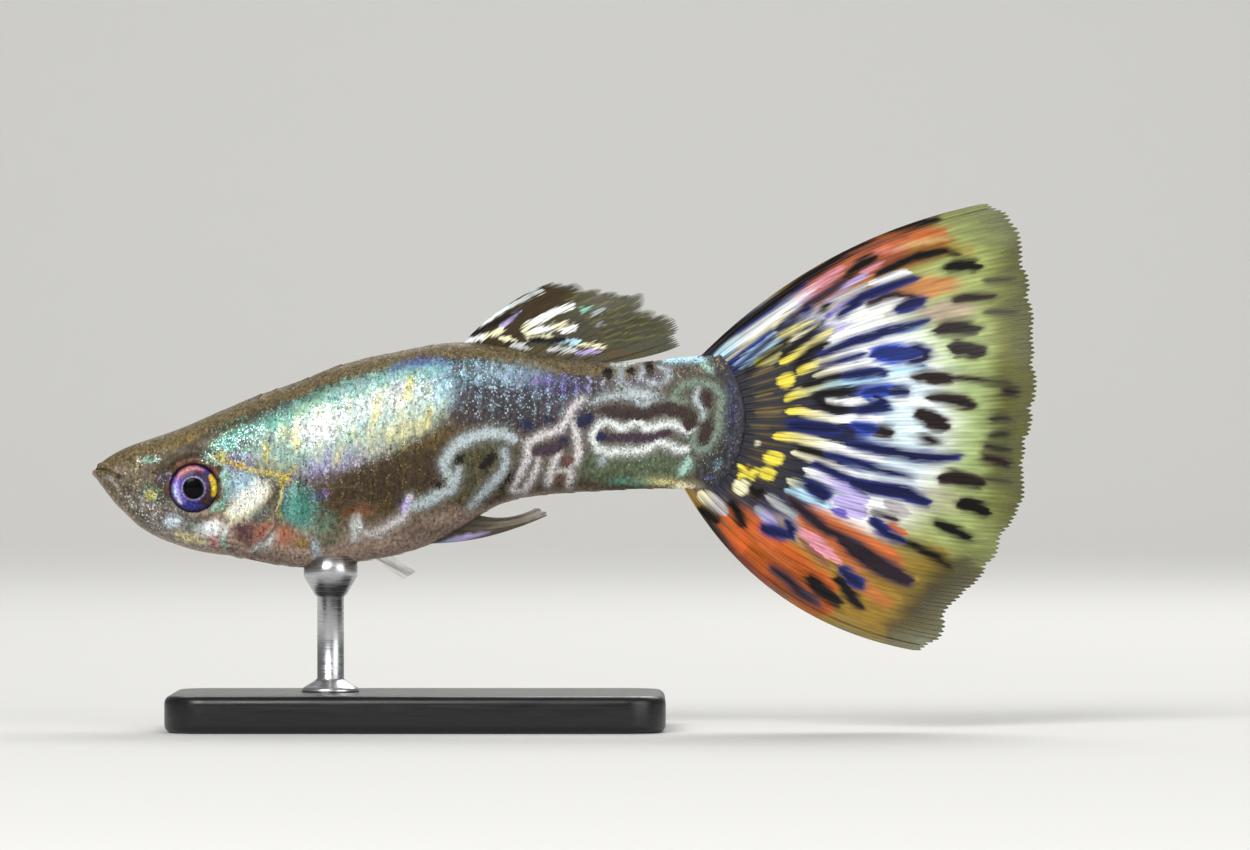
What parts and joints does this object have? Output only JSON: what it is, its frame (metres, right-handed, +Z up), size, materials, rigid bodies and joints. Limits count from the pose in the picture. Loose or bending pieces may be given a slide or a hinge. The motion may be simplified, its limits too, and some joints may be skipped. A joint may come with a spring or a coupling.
{
  "type": "fancy guppy",
  "caption": "Still life-size male fancy guppy with a broad patterned fan tail, low dorsal fin and large eyes, held over a small flat display base by one short rod.",
  "frame": {"origin": "centre of the object's box, on the underside of the stand's base", "axes": "+X from the snout to the tail, +Z up, the fish's left side faces -Y"},
  "size_m": [0.0456, 0.013, 0.0255],
  "materials": {
    "head_skin": "wet brown-grey skin with dark freckles and a silver cheek",
    "silver_skin": "thin silvery skin over the gills, pinkish below",
    "body_skin": "fine scales, glittering silver, green and blue, over a pale net pattern on olive brown",
    "eye": "clear cornea over a violet and gold iris with a silver ring and a black pupil",
    "tail_membrane": "thin rayed membrane, yellow, orange and pale blue with black dashes and spots",
    "dorsal_membrane": "thin rayed membrane, dark with cream streaks in front, olive grey and see-through behind",
    "clear_membrane": "thin clear rayed membrane",
    "stand_base": "satin black acrylic with softly rounded edges",
    "stand_rod": "fine brushed stainless steel"
  },
  "bodies": {
    "root": {"head": "head_skin", "lower_jaw": "head_skin", "gill_cover_left": "silver_skin", "gill_cover_right": "silver_skin", "eye_left": "eye", "eye_right": "eye", "trunk": "body_skin", "tail_stalk": "body_skin", "caudal_fin": "tail_membrane", "dorsal_fin": "dorsal_membrane", "gonopodium": "clear_membrane", "pectoral_fin_left": "clear_membrane", "pectoral_fin_right": "clear_membrane", "pelvic_fin_left": "clear_membrane", "pelvic_fin_right": "clear_membrane", "stand_base": "stand_base", "stand_rod": "stand_rod"}
  },
  "joints": []
}
